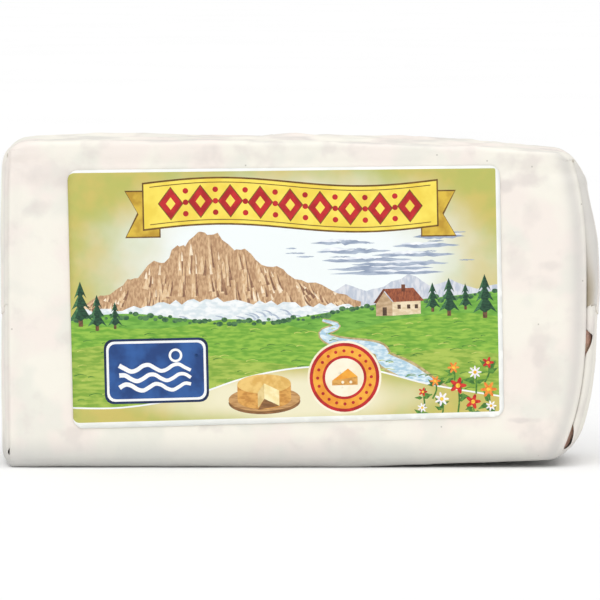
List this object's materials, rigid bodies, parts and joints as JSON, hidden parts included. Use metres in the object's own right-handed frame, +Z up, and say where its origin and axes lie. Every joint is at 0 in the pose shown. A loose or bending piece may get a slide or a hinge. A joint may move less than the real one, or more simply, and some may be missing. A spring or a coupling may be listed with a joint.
{
  "type": "wrapped half taleggio cheese",
  "caption": "Half block of soft washed-rind cheese standing on its long side, wrapped in folded off-white paper with end flaps and a printed label on the front face.",
  "frame": {"origin": "on the floor, under the middle of the whole block", "axes": "+X along the length to the end with the looser flaps, +Y to the rear face, the label faces -Y, +Z up"},
  "size_m": [0.2028, 0.0556, 0.1113],
  "materials": {
    "rind": "matt washed rind",
    "wrapping_paper": "matt, faintly mottled",
    "label_print": "coated print"
  },
  "bodies": {
    "root": {"cheese": "rind", "paper_wrap": "wrapping_paper", "label": "label_print"}
  },
  "joints": []
}
